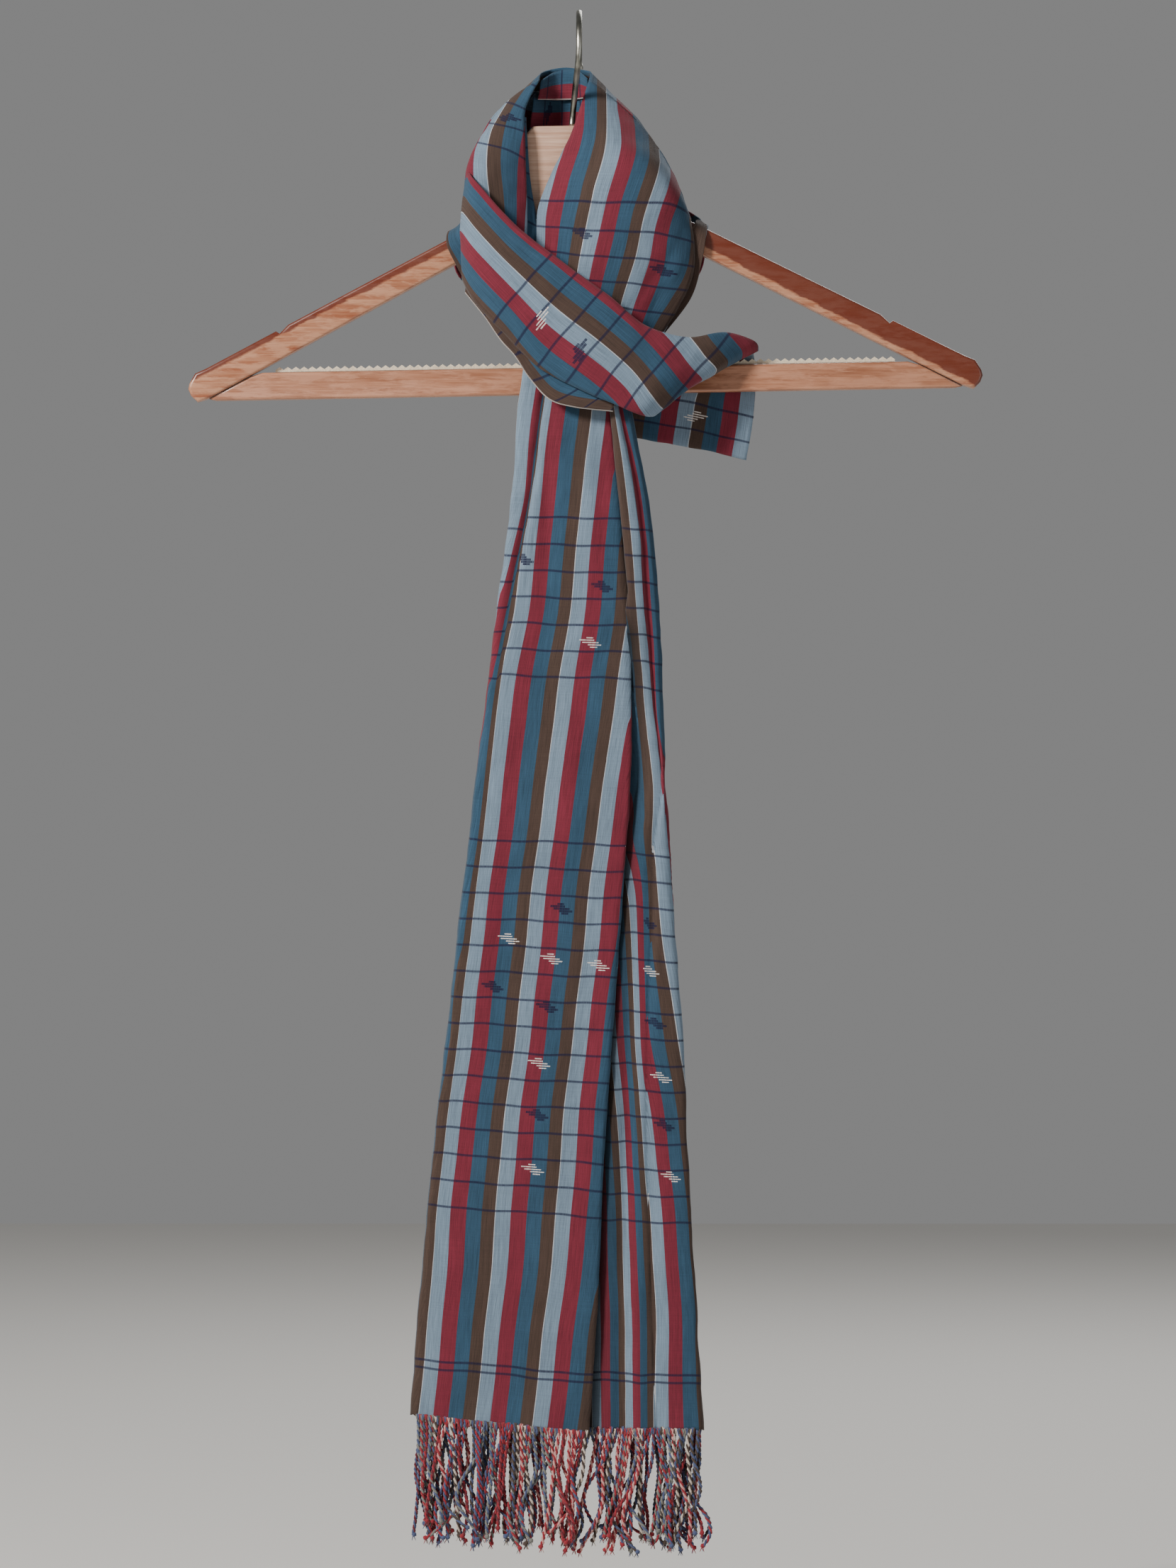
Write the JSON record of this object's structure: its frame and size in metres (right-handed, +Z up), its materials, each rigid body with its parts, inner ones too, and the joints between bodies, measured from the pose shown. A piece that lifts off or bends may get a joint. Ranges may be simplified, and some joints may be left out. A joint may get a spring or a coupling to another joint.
{
  "type": "striped cotton scarf wound on a wooden hanger",
  "caption": "Long striped cotton scarf with fringed ends, wound round the neck of a wooden trouser hanger and hanging down in front, held up by the hanger's steel hook.",
  "frame": {"origin": "highest point of the space inside the hook, where it bears on the rod that holds it up", "axes": "+Z up, +X to the right seen from the front, -Y towards the front"},
  "size_m": [0.448, 0.0785, 0.8746],
  "materials": {
    "cloth": "matte plain-weave cotton, striped",
    "yarn": "matte twisted cotton",
    "wood": "varnished",
    "grip": "matte, toothed",
    "steel": "satin wire"
  },
  "bodies": {
    "root": {"hanger_arms": "wood", "trouser_bar": "wood", "grip_strip": "grip", "hook": "steel", "front_right": "cloth", "neck_back": "cloth", "front_left": "cloth", "back_wrap": "cloth", "band": "cloth", "under_band": "cloth", "end_flap": "cloth", "facing_upper": "cloth", "facing_lower": "cloth", "tail_left": "cloth", "tail_right": "cloth", "fringe_left_front": "yarn", "fringe_left_back": "yarn", "fringe_right_front": "yarn", "fringe_right_back": "yarn"}
  },
  "joints": []
}
